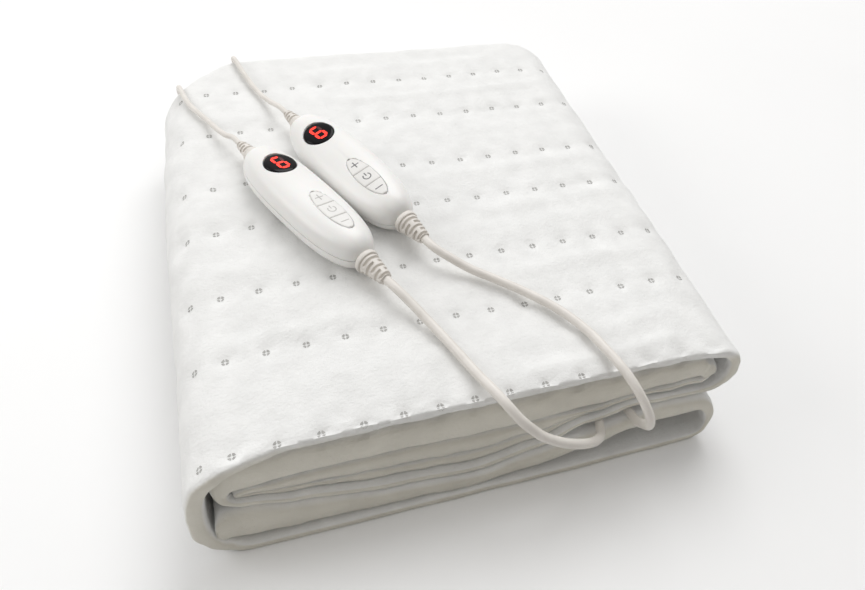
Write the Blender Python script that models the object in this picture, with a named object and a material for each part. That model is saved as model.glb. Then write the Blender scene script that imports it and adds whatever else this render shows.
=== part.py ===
"""A double electric underblanket, folded into a book of layers, with its two control handsets.

Metres, +Z up. +X runs along the front edge, +Y to the back, and the folded cloth stands on z = 0.
The cloth is one ribbon: its section in X and Z goes back and forth through every fold, and it is
swept from the front edge to the back edge. The tall layers stand for packs of plies that are
closed by a fold along the front edge.
"""

import math

import bmesh
import bpy
from mathutils import Matrix, Vector

MM = 0.001
GAP = 0.3 * MM

# The folded cloth.
HALF_DEPTH = 222 * MM
X_KNOTS = (-150, -122, -61, 0, 40, 78, 112, 134, 160)

# One row for each layer in the order that the ribbon runs, in mm: name, direction along X,
# front inset, back inset, low line and high line at X_KNOTS, and low and high at the back.
LAYERS = (
    ("pack", 1, 4, 4, (5.8, 5.8, 5.8, 5.8, 7.5, 15, 23.5, 27.5, 30),
     (36, 29.5, 20, 15.3, 24, 32.4, 39.6, 46.5, 46), (5.8, 24)),
    ("base", -1, 1, 2, (0, 0, 0, 0, 0, 0, 0, 0, 0),
     (5, 5, 5, 5, 5, 5, 5, 5, 5), (0, 5)),
    ("cover", 1, 9.5, 0, (78.3, 81.5, 83.5, 83.8, 83.8, 84, 84.3, 84.5, 84.8),
     (86.5, 90, 91.7, 92, 92, 92, 92, 92, 92), (83.8, 92)),
    ("lining", -1, 8.5, 3, (36.8, 30.3, 20.8, 16.1, 24.8, 41.6, 49.4, 47.3, 46.8),
     (40.3, 34.8, 25.6, 20.9, 29.6, 45.6, 53, 52, 51.6), (24.8, 29.6)),
    ("tall", 1, 9.5, 2, (49.5, 52.5, 52.5, 50.3, 51.3, 52.8, 57.1, 58.8, 62.1),
     (77.5, 80.7, 82.7, 83, 83, 83.2, 83.5, 83.7, 84), (52.6, 83)),
    ("middle", -1, 12, 5, (44.8, 40.8, 35.2, 31, 38.3, 48.7, 53.8, 54.5, 57.5),
     (48.7, 51.7, 51.7, 49.5, 50.5, 52, 56.3, 58, 61.3), (38, 51.8)),
    ("leaf", 1, 13, 6, (41.1, 35.6, 26.4, 21.7, 30.4, 46.4, 53, 54, 57),
     (44, 40, 34.4, 30.2, 37.5, 47.9, 53, 54, 57), (30.4, 37.2)),
)
LEAF_END = 72  # the leaf is the cut end of the cloth, and stops short of the other layers

# One row for each fold between two layers, in mm: how far its outer and its inner face swell past
# the ends of the layers, the power of its round outline, and its front and back insets.
FOLDS = (
    ("right_low", 19, 14, 2.4, 2, 4),
    ("spine", 41, 28.5, 2.5, 3, 2),
    ("right_top", 32, 23, 2.3, 7.5, 2),
    ("left_tall", 25.5, 14, 2.2, 10, 4),
    ("right_tall", 14, 3, 1.5, 8, 4),
    ("left_middle", 12, 6, 2.0, 13, 6),
)
HEM = (24.5, 6.0)  # the swell and the power of the free end at the left of the pack
LEAF_HEM = (7, 2.5)

# The rounded front and back edges: the share of the thickness left on each row of points.
NOSE_ROWS = (0.42, 0.8, 1.0)
NOSE_DEPTH = 9
DEPTH_ROWS = (0.06, 0.16, 0.3, 0.45, 0.6, 0.75, 0.88)
STATIONS = 15
FOLD_STEPS = 7

# The handsets: a lower and an upper case, a round window and three keys.
BODY = Vector((74, 22.8, 26)) * MM  # half length, half width, height
SPLIT = 9.5 * MM
WINDOW = Vector((-37, 0, 0)) * MM
WINDOW_SIZE = (13.4 * MM, 12.6 * MM)
KEYPAD = (5.5 * MM, 56.5 * MM, 8 * MM)  # rear tip, front tip, half width
KEY_LINES = (23.5 * MM, 39.5 * MM)
KEY_TRAVEL = 0.6 * MM
POCKET_FLOOR = 21.8 * MM
AXIS_HEIGHT = 9.5 * MM  # of the strain reliefs
HANDSETS = {
    # name: centre on the cloth in mm, heading in degrees, roll about its length in degrees
    "near": ((-87, -20.2, 94.6), -64, -7),
    "far": ((-45.9, 15.2, 96.9), -66, 15),
}

# The cords. A lead joins a handset to the cloth, and a mains cord leaves a handset's rear end.
LEAD_RADIUS = 3.25 * MM
MAINS_RADIUS = 2.25 * MM
STRAIGHT = 12 * MM  # the run of a cord straight out of its strain relief
FRONT_RELIEF = 24 * MM
REAR_RELIEF = 20 * MM
LEADS = {
    "near": (
        (-30, -131, 100.8), (-22.5, -145, 98), (-15.5, -160, 96.8), (-9, -176, 96.5),
        (-2, -195, 97), (4, -210, 98.2), (9.5, -222, 97), (16, -230, 91),
        (23.5, -233, 83), (31, -235, 75.5), (40, -236.5, 69.5), (49.5, -237.5, 64.5),
        (59.5, -237, 59.5), (69, -234.5, 54), (77, -229.5, 48), (83, -222, 41.4),
        (87, -211, 38.4), (89.5, -198, 38.6), (91.5, -184, 39.6), (92.5, -170, 40),
    ),
    "far": (
        (7, -97, 103), (19.5, -107, 99), (36, -119.5, 96.8), (53.5, -136.5, 96.5),
        (70, -156.5, 96.5), (81.5, -178, 97.0), (87.5, -199, 98.4), (91.5, -214, 98.4),
        (95.5, -226, 94.5), (99.5, -234.5, 87.5), (103, -239, 79), (106, -239.5, 70),
        (108, -236.5, 61.5), (109.2, -230, 53.5), (109.4, -221.5, 46),
        (108.8, -211, 43), (107.5, -198, 43.2), (106.5, -185, 43.5), (106, -172, 43.6),
    ),
}
MAINS = {
    "near": (
        (-138.5, 84, 101.8), (-145.5, 101, 97.4), (-153.5, 120, 95.2), (-161.5, 136, 93.8),
        (-168, 154, 91.8), (-172, 171, 90.2), (-174.8, 186, 87.2), (-176, 198, 77),
        (-175.5, 207, 62), (-174, 214, 45), (-171.5, 221, 28), (-167, 231, 14),
        (-165, 243, 5.5), (-164.4, 258, 2.6), (-164.3, 276, 2.5),
    ),
    "far": (
        (-95, 122, 102.6), (-99.5, 134.5, 98.6), (-105, 149, 96.0), (-111, 167, 95.2),
        (-117, 188, 95.3), (-121.5, 206, 96.0), (-124.5, 220, 94.0), (-124.5, 230.5, 85),
        (-121.5, 236, 70), (-117, 239, 53), (-111, 241, 36), (-103.5, 243.5, 20),
        (-91, 246, 8.5), (-77, 249, 3.2), (-58, 252.5, 2.5), (-38, 257.5, 2.5),
        (-22, 264, 2.5), (-13.5, 272, 2.5), (-12.3, 280, 2.5),
    ),
}
COILS = {"near": (-128, 282), "far": (24, 282)}
COIL_RADIUS = 27 * MM
COIL_SECTION = (3, 4)  # turns side by side, and turns on each other
PLUG_HEIGHT = 7 * MM
TAIL_CORD = ((18.6, 14.6), (24, 12.4), (30, 9.6), (37, 7.6))  # along +X from the coil, height
PLUG_START = 46 * MM  # from the centre of the coil to the tail of the plug, along +X


def clear_scene():
    for obj in list(bpy.data.objects):
        bpy.data.objects.remove(obj, do_unlink=True)


def material(name, colour, roughness):
    made = bpy.data.materials.new(name)
    made.use_nodes = True
    shader = made.node_tree.nodes["Principled BSDF"]
    shader.inputs["Base Color"].default_value = (*colour, 1)
    shader.inputs["Roughness"].default_value = roughness
    return made


def add_object(name, mesh, finish, parent=None, place=None):
    mesh.materials.append(finish)
    obj = bpy.data.objects.new(name, mesh)
    bpy.context.scene.collection.objects.link(obj)
    if parent:
        obj.parent = parent
    if place:
        obj.matrix_basis = place
    return obj


def mesh_from(bm, name):
    bmesh.ops.recalc_face_normals(bm, faces=bm.faces)
    mesh = bpy.data.meshes.new(name)
    bm.to_mesh(mesh)
    bm.free()
    return mesh


def smooth_shade(mesh, angle=40):
    mesh.shade_smooth()
    mesh.set_sharp_from_angle(angle=math.radians(angle))


def ease(low, high, value):
    """0 below low, 1 above high, and a smooth step between them."""
    share = min(max((value - low) / (high - low), 0), 1)
    return share * share * (3 - 2 * share)


# ---- The folded cloth -------------------------------------------------------------------------


def on_knots(heights, x):
    """The height of a line at x: a smooth curve through its heights at X_KNOTS."""
    last = len(X_KNOTS) - 1
    x = min(max(x, X_KNOTS[0]), X_KNOTS[last])
    i = max(k for k in range(last) if X_KNOTS[k] <= x)
    share = ease(X_KNOTS[i], X_KNOTS[i + 1], x)
    return heights[i] + (heights[i + 1] - heights[i]) * share


def layer_lines(layer, x, blend):
    """The low and high faces of a layer at x, from its front lines to its even back lines."""
    low, high = on_knots(layer[4], x), on_knots(layer[5], x)
    return low + (layer[6][0] - low) * blend, high + (layer[6][1] - high) * blend


def arc(end_x, first, last, swell, power, steps):
    """Points from the height first round to the height last, swelling past end_x."""
    middle, half = (first + last) / 2, (first - last) / 2
    points = []
    for k in range(1, steps):
        turn = math.pi * k / steps
        across = abs(math.sin(turn)) ** (2 / power)
        up = math.copysign(abs(math.cos(turn)) ** (2 / power), math.cos(turn))
        points.append((end_x + swell * across, middle + half * up))
    return points


def hem(end_x, low, high, swell, power):
    """Pairs of points that round off a free end, from the tip to the full thickness."""
    middle, half = (low + high) / 2, (high - low) / 2
    pairs = []
    for turn in (12, 40, 68):
        across = math.cos(math.radians(turn)) ** (2 / power)
        up = math.sin(math.radians(turn)) ** (2 / power)
        x = end_x + swell * across
        pairs.append(((x, middle + half * up), (x, middle - half * up)))
    return pairs


def section(blend):
    """The ribbon at one depth: (left face, right face, front inset, back inset) along its run."""
    run = []
    first, last = X_KNOTS[0], X_KNOTS[-1]
    for number, layer in enumerate(LAYERS):
        _, way, front, back = layer[:4]
        end = LEAF_END if layer[0] == "leaf" else last
        if number == 0:
            low, high = layer_lines(layer, first, blend)
            run += [(*pair, front, back) for pair in hem(first, low, high, -HEM[0], HEM[1])]
        for k in range(STATIONS + 1):
            x = first + (end - first) * k / STATIONS
            if way < 0:
                x = last + (first - last) * k / STATIONS
            low, high = layer_lines(layer, x, blend)
            faces = ((x, high), (x, low)) if way > 0 else ((x, low), (x, high))
            run.append((*faces, front, back))
        if number == len(FOLDS):
            low, high = layer_lines(layer, end, blend)
            for left, right in reversed(hem(end, low, high, *LEAF_HEM)):
                run.append((left, right, front, back))
            break
        _, outer, inner, power, front, back = FOLDS[number]
        following = LAYERS[number + 1]
        side = last if way > 0 else first
        low, high = layer_lines(layer, side, blend)
        next_low, next_high = layer_lines(following, side, blend)
        # A fold's outer face joins the two layers' far faces, and its inner face the near ones.
        far, near = ((high, next_low), (low, next_high))
        if low < next_low:
            far, near = ((low, next_high), (high, next_low))
        outside = arc(side, *far, way * outer, power, FOLD_STEPS)
        inside = arc(side, *near, way * inner, power, FOLD_STEPS)
        turns_left = (way > 0) == (low < next_low)
        for out, into in zip(outside, inside):
            run.append((into, out, front, back) if turns_left else (out, into, front, back))
    return run


def averaged(values, reach=2):
    """The values with each one averaged with its neighbours, so that the edge has no step."""
    count = len(values)
    spans = [values[max(0, i - reach):min(count, i + reach + 1)] for i in range(count)]
    return [sum(span) / len(span) for span in spans]


def place_point(x, y, z):
    """Draws the left side in towards the front, and swells and dips the layers a little."""
    if x < 0:
        x *= 1 - 0.045 * ease(60, -220, y)
    swell = 0.010 * math.sin(x / 47 + 0.6) * math.sin(y / 58 + 1.1)
    clear_of_handsets = 1 - math.exp(-(((x + 55) / 90) ** 4 + (y / 130) ** 4))
    return Vector((x, y, z * (1 - abs(swell) * clear_of_handsets))) * MM


def corner_inset(x):
    """How far the back corners are rounded off."""
    return 46 * ease(-122, -191, x) + 18 * ease(150, 192, x)


def cloth_rows():
    """The ribbon's points: one list for each depth, of pairs of points."""
    front_y, back_y = -HALF_DEPTH / MM, HALF_DEPTH / MM
    shape = section(0)
    fronts = averaged([point[2] for point in shape])
    backs = averaged([point[3] for point in shape])
    steps = [("front", share) for share in NOSE_ROWS]
    steps += [("middle", share) for share in DEPTH_ROWS]
    steps += [("back", share) for share in reversed(NOSE_ROWS)]
    rows = []
    for place, share in steps:
        row = []
        for i in range(len(shape)):
            left, right = Vector(shape[i][0]), Vector(shape[i][1])
            nose = min(NOSE_DEPTH, 0.5 * (left - right).length) + 0.5
            start = front_y + fronts[i]
            stop = back_y - backs[i] - corner_inset((left.x + right.x) / 2)
            keep = 1
            if place == "middle":
                y = start + nose + (stop - start - 2 * nose) * share
            else:
                keep = share
                in_by = nose * (1 - math.sqrt(1 - (1 - share) ** 2))
                y = start + in_by if place == "front" else stop - in_by
            pair = section_at(y)[i]
            left, right = Vector(pair[0]), Vector(pair[1])
            middle, half = (left + right) / 2, (left - right) / 2
            for point in (middle + half * keep, middle - half * keep):
                row.append(place_point(point.x, y, point.y))
        rows.append(row)
    return rows


SECTIONS = {}


def section_at(y):
    """The section at a depth in mm: uneven at the front, and more even towards the back."""
    blend = round(0.8 * ease(-150, 150, y), 2)
    if blend not in SECTIONS:
        SECTIONS[blend] = section(blend)
    return SECTIONS[blend]


def build_cloth(finish):
    rows = cloth_rows()
    bm = bmesh.new()
    grid = [[bm.verts.new(point) for point in row] for row in rows]
    count = len(rows[0]) // 2
    for before, after in zip(grid, grid[1:]):
        for i in range(count - 1):
            left, right, next_left, next_right = range(2 * i, 2 * i + 4)
            bm.faces.new((before[left], after[left], after[next_left], before[next_left]))
            bm.faces.new((before[right], before[next_right], after[next_right], after[right]))
        for left, right in ((0, 1), (2 * count - 2, 2 * count - 1)):
            bm.faces.new((before[left], before[right], after[right], after[left]))
    for row in (grid[0], grid[-1]):
        for i in range(count - 1):
            left, right, next_left, next_right = row[2 * i:2 * i + 4]
            bm.faces.new((left, next_left, next_right, right))
    mesh = mesh_from(bm, "blanket")
    smooth_shade(mesh, 60)
    return add_object("blanket", mesh, finish)


# ---- The handsets -----------------------------------------------------------------------------


def rounded_ring(half_x, half_y, z, power=2.7, count=36):
    """A ring of points on a rounded oblong."""
    points = []
    for k in range(count):
        turn = 2 * math.pi * k / count
        x = math.copysign(abs(math.cos(turn)) ** (2 / power), math.cos(turn))
        y = math.copysign(abs(math.sin(turn)) ** (2 / power), math.sin(turn))
        points.append(Vector((half_x * x, half_y * y, z)))
    return points


def stacked(rings, name):
    """A closed solid through rings of points, from the lowest to the highest."""
    bm = bmesh.new()
    loops = [[bm.verts.new(point) for point in ring] for ring in rings]
    count = len(loops[0])
    for low, high in zip(loops, loops[1:]):
        for k in range(count):
            after = (k + 1) % count
            bm.faces.new((low[k], low[after], high[after], high[k]))
    bm.faces.new(list(reversed(loops[0])))
    bm.faces.new(loops[-1])
    mesh = mesh_from(bm, name)
    smooth_shade(mesh)
    return mesh


def case_rings(levels):
    """Rings for (height, inset) levels in mm."""
    return [
        rounded_ring(BODY.x - inset * MM, BODY.y - inset * MM, height * MM)
        for height, inset in levels
    ]


LOWER_LEVELS = ((0, 8), (0.7, 4.5), (2.4, 1.8), (5, 0.4), (SPLIT / MM, 0))
UPPER_LEVELS = (
    (SPLIT / MM + 0.3, 0), (14, 0.5), (18, 1.8), (21.2, 4.2), (23.6, 7.6), (25.2, 12), (26, 17.5),
)


def keypad_half_width(x, slack):
    """Half the keypad's width at x: a slim oval."""
    rear, front, half = KEYPAD
    middle, reach = (rear + front) / 2, (front - rear) / 2 - slack
    share = min(abs(x - middle) / reach, 1)
    return (half - slack) * (1 - share ** 2) ** 0.55


def keypad_outline(start, stop, slack, z, steps=8):
    """The keypad's outline between two places along it."""
    places = [start + (stop - start) * k / steps for k in range(steps + 1)]
    tip = 0.4 * MM
    near = [(x, max(keypad_half_width(x, slack), tip)) for x in places]
    ring = [Vector((x, -y, z)) for x, y in near]
    return ring + [Vector((x, y, z)) for x, y in reversed(near)]


def cut(target, name, mesh, parent):
    """Cuts a pocket with a hidden copy of its shape."""
    cutter = bpy.data.objects.new(name, mesh)
    bpy.context.scene.collection.objects.link(cutter)
    cutter.parent = parent
    cutter.hide_render = True
    cutter.display_type = "WIRE"
    boolean = target.modifiers.new(name, "BOOLEAN")
    boolean.operation = "DIFFERENCE"
    boolean.solver = "EXACT"
    boolean.object = cutter


def prism(ring, bottom, top, name):
    """A straight solid on an outline, with a slightly smaller top edge."""
    centre = sum(ring, Vector()) / len(ring)
    levels = ((bottom, 1.0), (top - 0.5 * MM, 1.0), (top, 0.94))
    rings = []
    for z, scale in levels:
        rings.append([
            Vector((centre.x + (p.x - centre.x) * scale, p.y * scale, z)) for p in ring
        ])
    return stacked(rings, name)


def relief_mesh(name, radii, length, ribs, wall):
    """A strain relief along +X from x = 0: a round collar and a ribbed, tapered boot."""
    collar, root, tip = radii
    profile = [(0, collar), (3.5 * MM, collar), (4.5 * MM, root)]
    for k in range(ribs):
        start = 4.5 * MM + (length - 4.5 * MM) * k / ribs
        stop = 4.5 * MM + (length - 4.5 * MM) * (k + 0.62) / ribs
        radius = root + (tip - root) * (k + 0.5) / ribs
        groove = radius - wall
        profile += [(start + 0.3 * MM, radius), (stop, radius), (stop + 0.3 * MM, groove)]
        if k < ribs - 1:
            profile.append((4.5 * MM + (length - 4.5 * MM) * (k + 1) / ribs, groove))
    profile.append((length, tip - wall))
    rings = []
    for x, radius in profile:
        turns = [2 * math.pi * k / 16 for k in range(16)]
        rings.append([Vector((x, radius * math.cos(t), radius * math.sin(t))) for t in turns])
    return stacked(rings, name)


def build_handset(tag, finishes):
    centre, heading, roll = HANDSETS[tag]
    frame = bpy.data.objects.new(f"handset_{tag}", None)
    bpy.context.scene.collection.objects.link(frame)
    turn = Matrix.Rotation(math.radians(heading), 4, "Z")
    frame.matrix_basis = (
        Matrix.Translation(Vector(centre) * MM) @ turn
        @ Matrix.Rotation(math.radians(roll), 4, "X")
    )
    prefix = f"handset_{tag}_"
    add_object(prefix + "lower_case", stacked(case_rings(LOWER_LEVELS), "lower_case"),
               finishes["case"], frame)
    upper = add_object(prefix + "upper_case", stacked(case_rings(UPPER_LEVELS), "upper_case"),
                       finishes["case"], frame)

    above = BODY.z + 4 * MM
    rings = [rounded_ring(*WINDOW_SIZE, z, 2, 32) for z in (POCKET_FLOOR, above)]
    rings = [[point + WINDOW for point in ring] for ring in rings]
    cut(upper, prefix + "window_cutter", stacked(rings, "window_cutter"), frame)
    outline = keypad_outline(KEYPAD[0], KEYPAD[1], 0, POCKET_FLOOR, 16)
    rings = [outline, [Vector((p.x, p.y, above)) for p in outline]]
    cut(upper, prefix + "keypad_cutter", stacked(rings, "keypad_cutter"), frame)

    levels = ((POCKET_FLOOR + GAP, 0.4), (24.9 * MM, 0.4), (25.9 * MM, 2.4), (26.3 * MM, 6.5))
    rings = []
    for z, inset in levels:
        sizes = [size - inset * MM for size in WINDOW_SIZE]
        rings.append([point + WINDOW for point in rounded_ring(*sizes, z, 2, 32)])
    add_object(prefix + "window", stacked(rings, "window"), finishes["window"], frame)

    edges = (KEYPAD[0] + 1.2 * MM, *KEY_LINES, KEYPAD[1] - 1.2 * MM)
    for number, key in enumerate(("plus", "power", "minus")):
        start, stop = edges[number] + GAP, edges[number + 1] - GAP
        middle = (start + stop) / 2
        ring = [
            Vector((p.x - middle, p.y, 0))
            for p in keypad_outline(start, stop, 0.5 * MM, 0)
        ]
        bottom = POCKET_FLOOR + KEY_TRAVEL + 0.5 * MM
        mesh = prism(ring, 0, 26.5 * MM - bottom, f"key_{key}")
        add_object(prefix + f"key_{key}", mesh, finishes["key"], frame,
                   Matrix.Translation((middle, 0, bottom)))

    front = relief_mesh("front_relief", (9.2 * MM, 8.2 * MM, 5 * MM), FRONT_RELIEF, 5, 1.1 * MM)
    place = Matrix.Translation((BODY.x + GAP, 0, AXIS_HEIGHT))
    add_object(prefix + "front_relief", front, finishes["rubber"], frame, place)
    rear = relief_mesh("rear_relief", (7.2 * MM, 6 * MM, 3.9 * MM), REAR_RELIEF, 4, 0.9 * MM)
    place = Matrix.Translation((-BODY.x - GAP, 0, AXIS_HEIGHT)) @ Matrix.Rotation(math.pi, 4, "Z")
    add_object(prefix + "rear_relief", rear, finishes["rubber"], frame, place)
    return frame


# ---- The cords --------------------------------------------------------------------------------


def smooth_curve(points, spacing):
    """Points at about even steps on a smooth curve through the given ones."""
    padded = [2 * points[0] - points[1], *points, 2 * points[-1] - points[-2]]
    fine = []
    for a, b, c, d in zip(padded, padded[1:], padded[2:], padded[3:]):
        for k in range(12):
            t = k / 12
            fine.append(0.5 * (2 * b + (c - a) * t + (2 * a - 5 * b + 4 * c - d) * t * t
                               + (3 * b - a - 3 * c + d) * t ** 3))
    fine.append(points[-1])
    length = sum((b - a).length for a, b in zip(fine, fine[1:]))
    count = max(2, round(length / spacing))
    even, walked, target = [fine[0]], 0, length / count
    for a, b in zip(fine, fine[1:]):
        step = (b - a).length
        while walked + step >= target and len(even) < count:
            even.append(a.lerp(b, (target - walked) / step))
            target += length / count
        walked += step
    even.append(fine[-1])
    return even


def build_tube(name, points, radius, finish):
    curve = bpy.data.curves.new(name, "CURVE")
    curve.dimensions = "3D"
    curve.bevel_depth = radius
    curve.bevel_resolution = 2
    curve.use_fill_caps = True
    spline = curve.splines.new("POLY")
    spline.points.add(len(points) - 1)
    for target, point in zip(spline.points, points):
        target.co = (*point, 1)
    curve.materials.append(finish)
    obj = bpy.data.objects.new(name, curve)
    bpy.context.scene.collection.objects.link(obj)
    return obj


def straight_out(frame, end):
    """A cord's first two points, straight out of a strain relief: end is 1 or -1."""
    length = FRONT_RELIEF if end > 0 else REAR_RELIEF
    tip = BODY.x + 2.4 * GAP + length
    return [
        frame.matrix_basis @ Vector((end * (tip + step), 0, AXIS_HEIGHT)) for step in (0, STRAIGHT)
    ]


def build_cords(tag, frame, finishes):
    lead = straight_out(frame, 1) + [Vector(point) * MM for point in LEADS[tag]]
    build_tube(f"lead_{tag}", smooth_curve(lead, 13 * MM), LEAD_RADIUS, finishes["cord"])

    route = straight_out(frame, -1) + [Vector(point) * MM for point in MAINS[tag]]
    build_tube(f"mains_cord_{tag}", smooth_curve(route, 10 * MM), MAINS_RADIUS, finishes["cord"])

    wide, high = COIL_SECTION
    inner = COIL_RADIUS - wide * MAINS_RADIUS
    outer = COIL_RADIUS + wide * MAINS_RADIUS
    top = 2 * high * MAINS_RADIUS
    corners = (
        (inner, 0), (outer, 0), (outer, 0.85 * top), (outer - MAINS_RADIUS, top),
        (inner + MAINS_RADIUS, top), (inner, 0.85 * top),
    )
    bm = bmesh.new()
    profile = [bm.verts.new((radius, 0, z)) for radius, z in corners]
    edges = [bm.edges.new((a, b)) for a, b in zip(profile, profile[1:] + profile[:1])]
    bmesh.ops.spin(bm, geom=edges, cent=(0, 0, 0), axis=(0, 0, 1), angle=2 * math.pi, steps=32,
                   use_merge=True)
    bmesh.ops.remove_doubles(bm, verts=bm.verts, dist=1e-6)
    mesh = mesh_from(bm, "coil")
    smooth_shade(mesh, 30)
    place = Matrix.Translation(Vector((*COILS[tag], 0)) * MM)
    add_object(f"mains_coil_{tag}", mesh, finishes["cord"], None, place)
    build_plug(tag, finishes)

    back = COILS[tag][1] * MM + COIL_RADIUS + 2 * MAINS_RADIUS
    centre = COILS[tag][0] * MM
    run = [Vector((centre + along * MM, back, height * MM)) for along, height in TAIL_CORD]
    run.append(Vector((centre + PLUG_START - GAP, back, PLUG_HEIGHT)))
    build_tube(f"plug_cord_{tag}", smooth_curve(run, 6 * MM), MAINS_RADIUS, finishes["cord"])


def build_plug(tag, finishes):
    """A flat two-pin plug along +X: the cord comes out of the back of the coil into its tail."""
    x, y = Vector(COILS[tag]) * MM
    y += COIL_RADIUS + 2 * MAINS_RADIUS
    place = Matrix.Translation((x + PLUG_START, y, PLUG_HEIGHT))
    shape = ((0, 3.4, 3.4), (10, 4.6, 4.6), (12, 7, 5.6), (16, 9.5, 6.6), (24, 12.5, 7),
             (42, 13.3, 7), (46, 12.8, 6.7))
    rings = []
    for along, half, thick in shape:
        ring = rounded_ring(half * MM, thick * MM, 0, 3.0, 20)
        rings.append([Vector((along * MM, p.x, p.y)) for p in ring])
    add_object(f"plug_{tag}", stacked(rings, "plug"), finishes["plug"], None, place)
    for side, label in ((9.5, "a"), (-9.5, "b")):
        rings = []
        for along, radius in ((46.3, 2), (63, 2), (64.6, 1.5), (65.3, 0.7)):
            ring = rounded_ring(radius * MM, radius * MM, 0, 2, 12)
            rings.append([Vector((along * MM, p.x + side * MM, p.y)) for p in ring])
        add_object(f"plug_{tag}_pin_{label}", stacked(rings, "pin"), finishes["pin"], None, place)


def main():
    clear_scene()
    finishes = {
        "case": material("white_gloss_plastic", (0.86, 0.84, 0.81), 0.25),
        "window": material("black_window", (0.01, 0.01, 0.012), 0.08),
        "key": material("white_key_rubber", (0.80, 0.79, 0.77), 0.45),
        "rubber": material("warm_white_relief", (0.75, 0.71, 0.66), 0.5),
        "cord": material("warm_white_cord", (0.76, 0.72, 0.67), 0.45),
        "plug": material("white_plug", (0.85, 0.83, 0.80), 0.35),
        "pin": material("nickel_pin", (0.72, 0.71, 0.68), 0.3),
    }
    build_cloth(material("white_felt", (0.88, 0.88, 0.86), 0.95))
    for tag in HANDSETS:
        frame = build_handset(tag, finishes)
        build_cords(tag, frame, finishes)


main()
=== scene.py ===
"""The folded electric blanket as it looks: felt with weld dots, two handsets, cords and plugs.

Metres, in the frame of the CAD part: +X runs right along the front edge, +Y to the back, +Z up.
The cloth repeats the part's layers and folds on a finer grid, and adds what a solid leaves out:
the dimples of the weld dots, the ridges between them, the creases, the hem and the felt's nap.
"""

import math

import bmesh
import bpy
from mathutils import Matrix, Vector, noise
from mathutils.bvhtree import BVHTree

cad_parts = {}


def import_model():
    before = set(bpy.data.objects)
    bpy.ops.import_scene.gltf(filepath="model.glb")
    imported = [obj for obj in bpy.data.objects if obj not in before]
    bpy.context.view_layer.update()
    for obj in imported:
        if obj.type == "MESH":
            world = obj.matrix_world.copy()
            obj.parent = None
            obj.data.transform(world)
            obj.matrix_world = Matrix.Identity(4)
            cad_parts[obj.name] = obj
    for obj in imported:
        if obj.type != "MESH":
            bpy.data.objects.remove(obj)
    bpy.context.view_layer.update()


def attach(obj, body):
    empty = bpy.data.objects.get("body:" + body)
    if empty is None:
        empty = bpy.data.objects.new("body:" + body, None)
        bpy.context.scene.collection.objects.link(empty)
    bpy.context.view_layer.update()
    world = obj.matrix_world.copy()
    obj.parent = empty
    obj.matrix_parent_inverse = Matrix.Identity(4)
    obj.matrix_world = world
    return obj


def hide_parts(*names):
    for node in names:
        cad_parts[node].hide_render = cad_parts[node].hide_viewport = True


MM = 0.001

# The folded cloth, as in the CAD part: lines in mm at X_KNOTS, and even lines at the back.
HALF_DEPTH = 222
X_KNOTS = (-150, -122, -61, 0, 40, 78, 112, 134, 160)
# Name, direction along X, front inset, back inset, low line, high line, back lines, stations.
LAYERS = (
    ("pack", 1, 4, 4, (5.8, 5.8, 5.8, 5.8, 7.5, 15, 23.5, 27.5, 30),
     (36, 29.5, 20, 15.3, 24, 32.4, 39.6, 46.5, 46), (5.8, 24), 56),
    ("base", -1, 1, 2, (0, 0, 0, 0, 0, 0, 0, 0, 0),
     (5, 5, 5, 5, 5, 5, 5, 5, 5), (0, 5), 14),
    ("cover", 1, 9.5, 0, (78.3, 81.5, 83.5, 83.8, 83.8, 84, 84.3, 84.5, 84.8),
     (86.5, 90, 91.7, 92, 92, 92, 92, 92, 92), (83.8, 92), 124),
    ("lining", -1, 8.5, 3, (36.8, 30.3, 20.8, 16.1, 24.8, 41.6, 49.4, 47.3, 46.8),
     (40.3, 34.8, 25.6, 20.9, 29.6, 45.6, 53, 52, 51.6), (24.8, 29.6), 40),
    ("tall", 1, 9.5, 2, (49.5, 52.5, 52.5, 50.3, 51.3, 52.8, 57.1, 58.8, 62.1),
     (77.5, 80.7, 82.7, 83, 83, 83.2, 83.5, 83.7, 84), (52.6, 83), 56),
    ("middle", -1, 12, 5, (44.8, 40.8, 35.2, 31, 38.3, 48.7, 53.8, 54.5, 57.5),
     (48.7, 51.7, 51.7, 49.5, 50.5, 52, 56.3, 58, 61.3), (38, 51.8), 48),
    ("leaf", 1, 13, 6, (41.1, 35.6, 26.4, 21.7, 30.4, 46.4, 53, 54, 57),
     (44, 40, 34.4, 30.2, 37.5, 47.9, 53, 54, 57), (30.4, 37.2), 36),
)
LEAF_END = 72
# Name, outer and inner swell, power of the outline, front inset, back inset, steps.
FOLDS = (
    ("right_low", 19, 14, 2.4, 2, 4, 20),
    ("spine", 41, 28.5, 2.5, 3, 2, 40),
    ("right_top", 32, 23, 2.3, 7.5, 2, 26),
    ("left_tall", 25.5, 14, 2.2, 10, 4, 20),
    ("right_tall", 14, 3, 1.5, 8, 4, 16),
    ("left_middle", 12, 6, 2.0, 13, 6, 12),
)
HEM = (24.5, 6.0)
LEAF_HEM = (7, 2.5)
HEM_TURNS = (3, 10, 19, 30, 42, 56, 72)
SEAM_X = -159  # an upright seam in the front of the lower plies
SEAM_TOP = 40
NOSE_DEPTH = 9
COVER_NOSE = 8.5
NOSE_ROWS = (0.2, 0.42, 0.62, 0.8, 0.93, 1.0)

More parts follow.
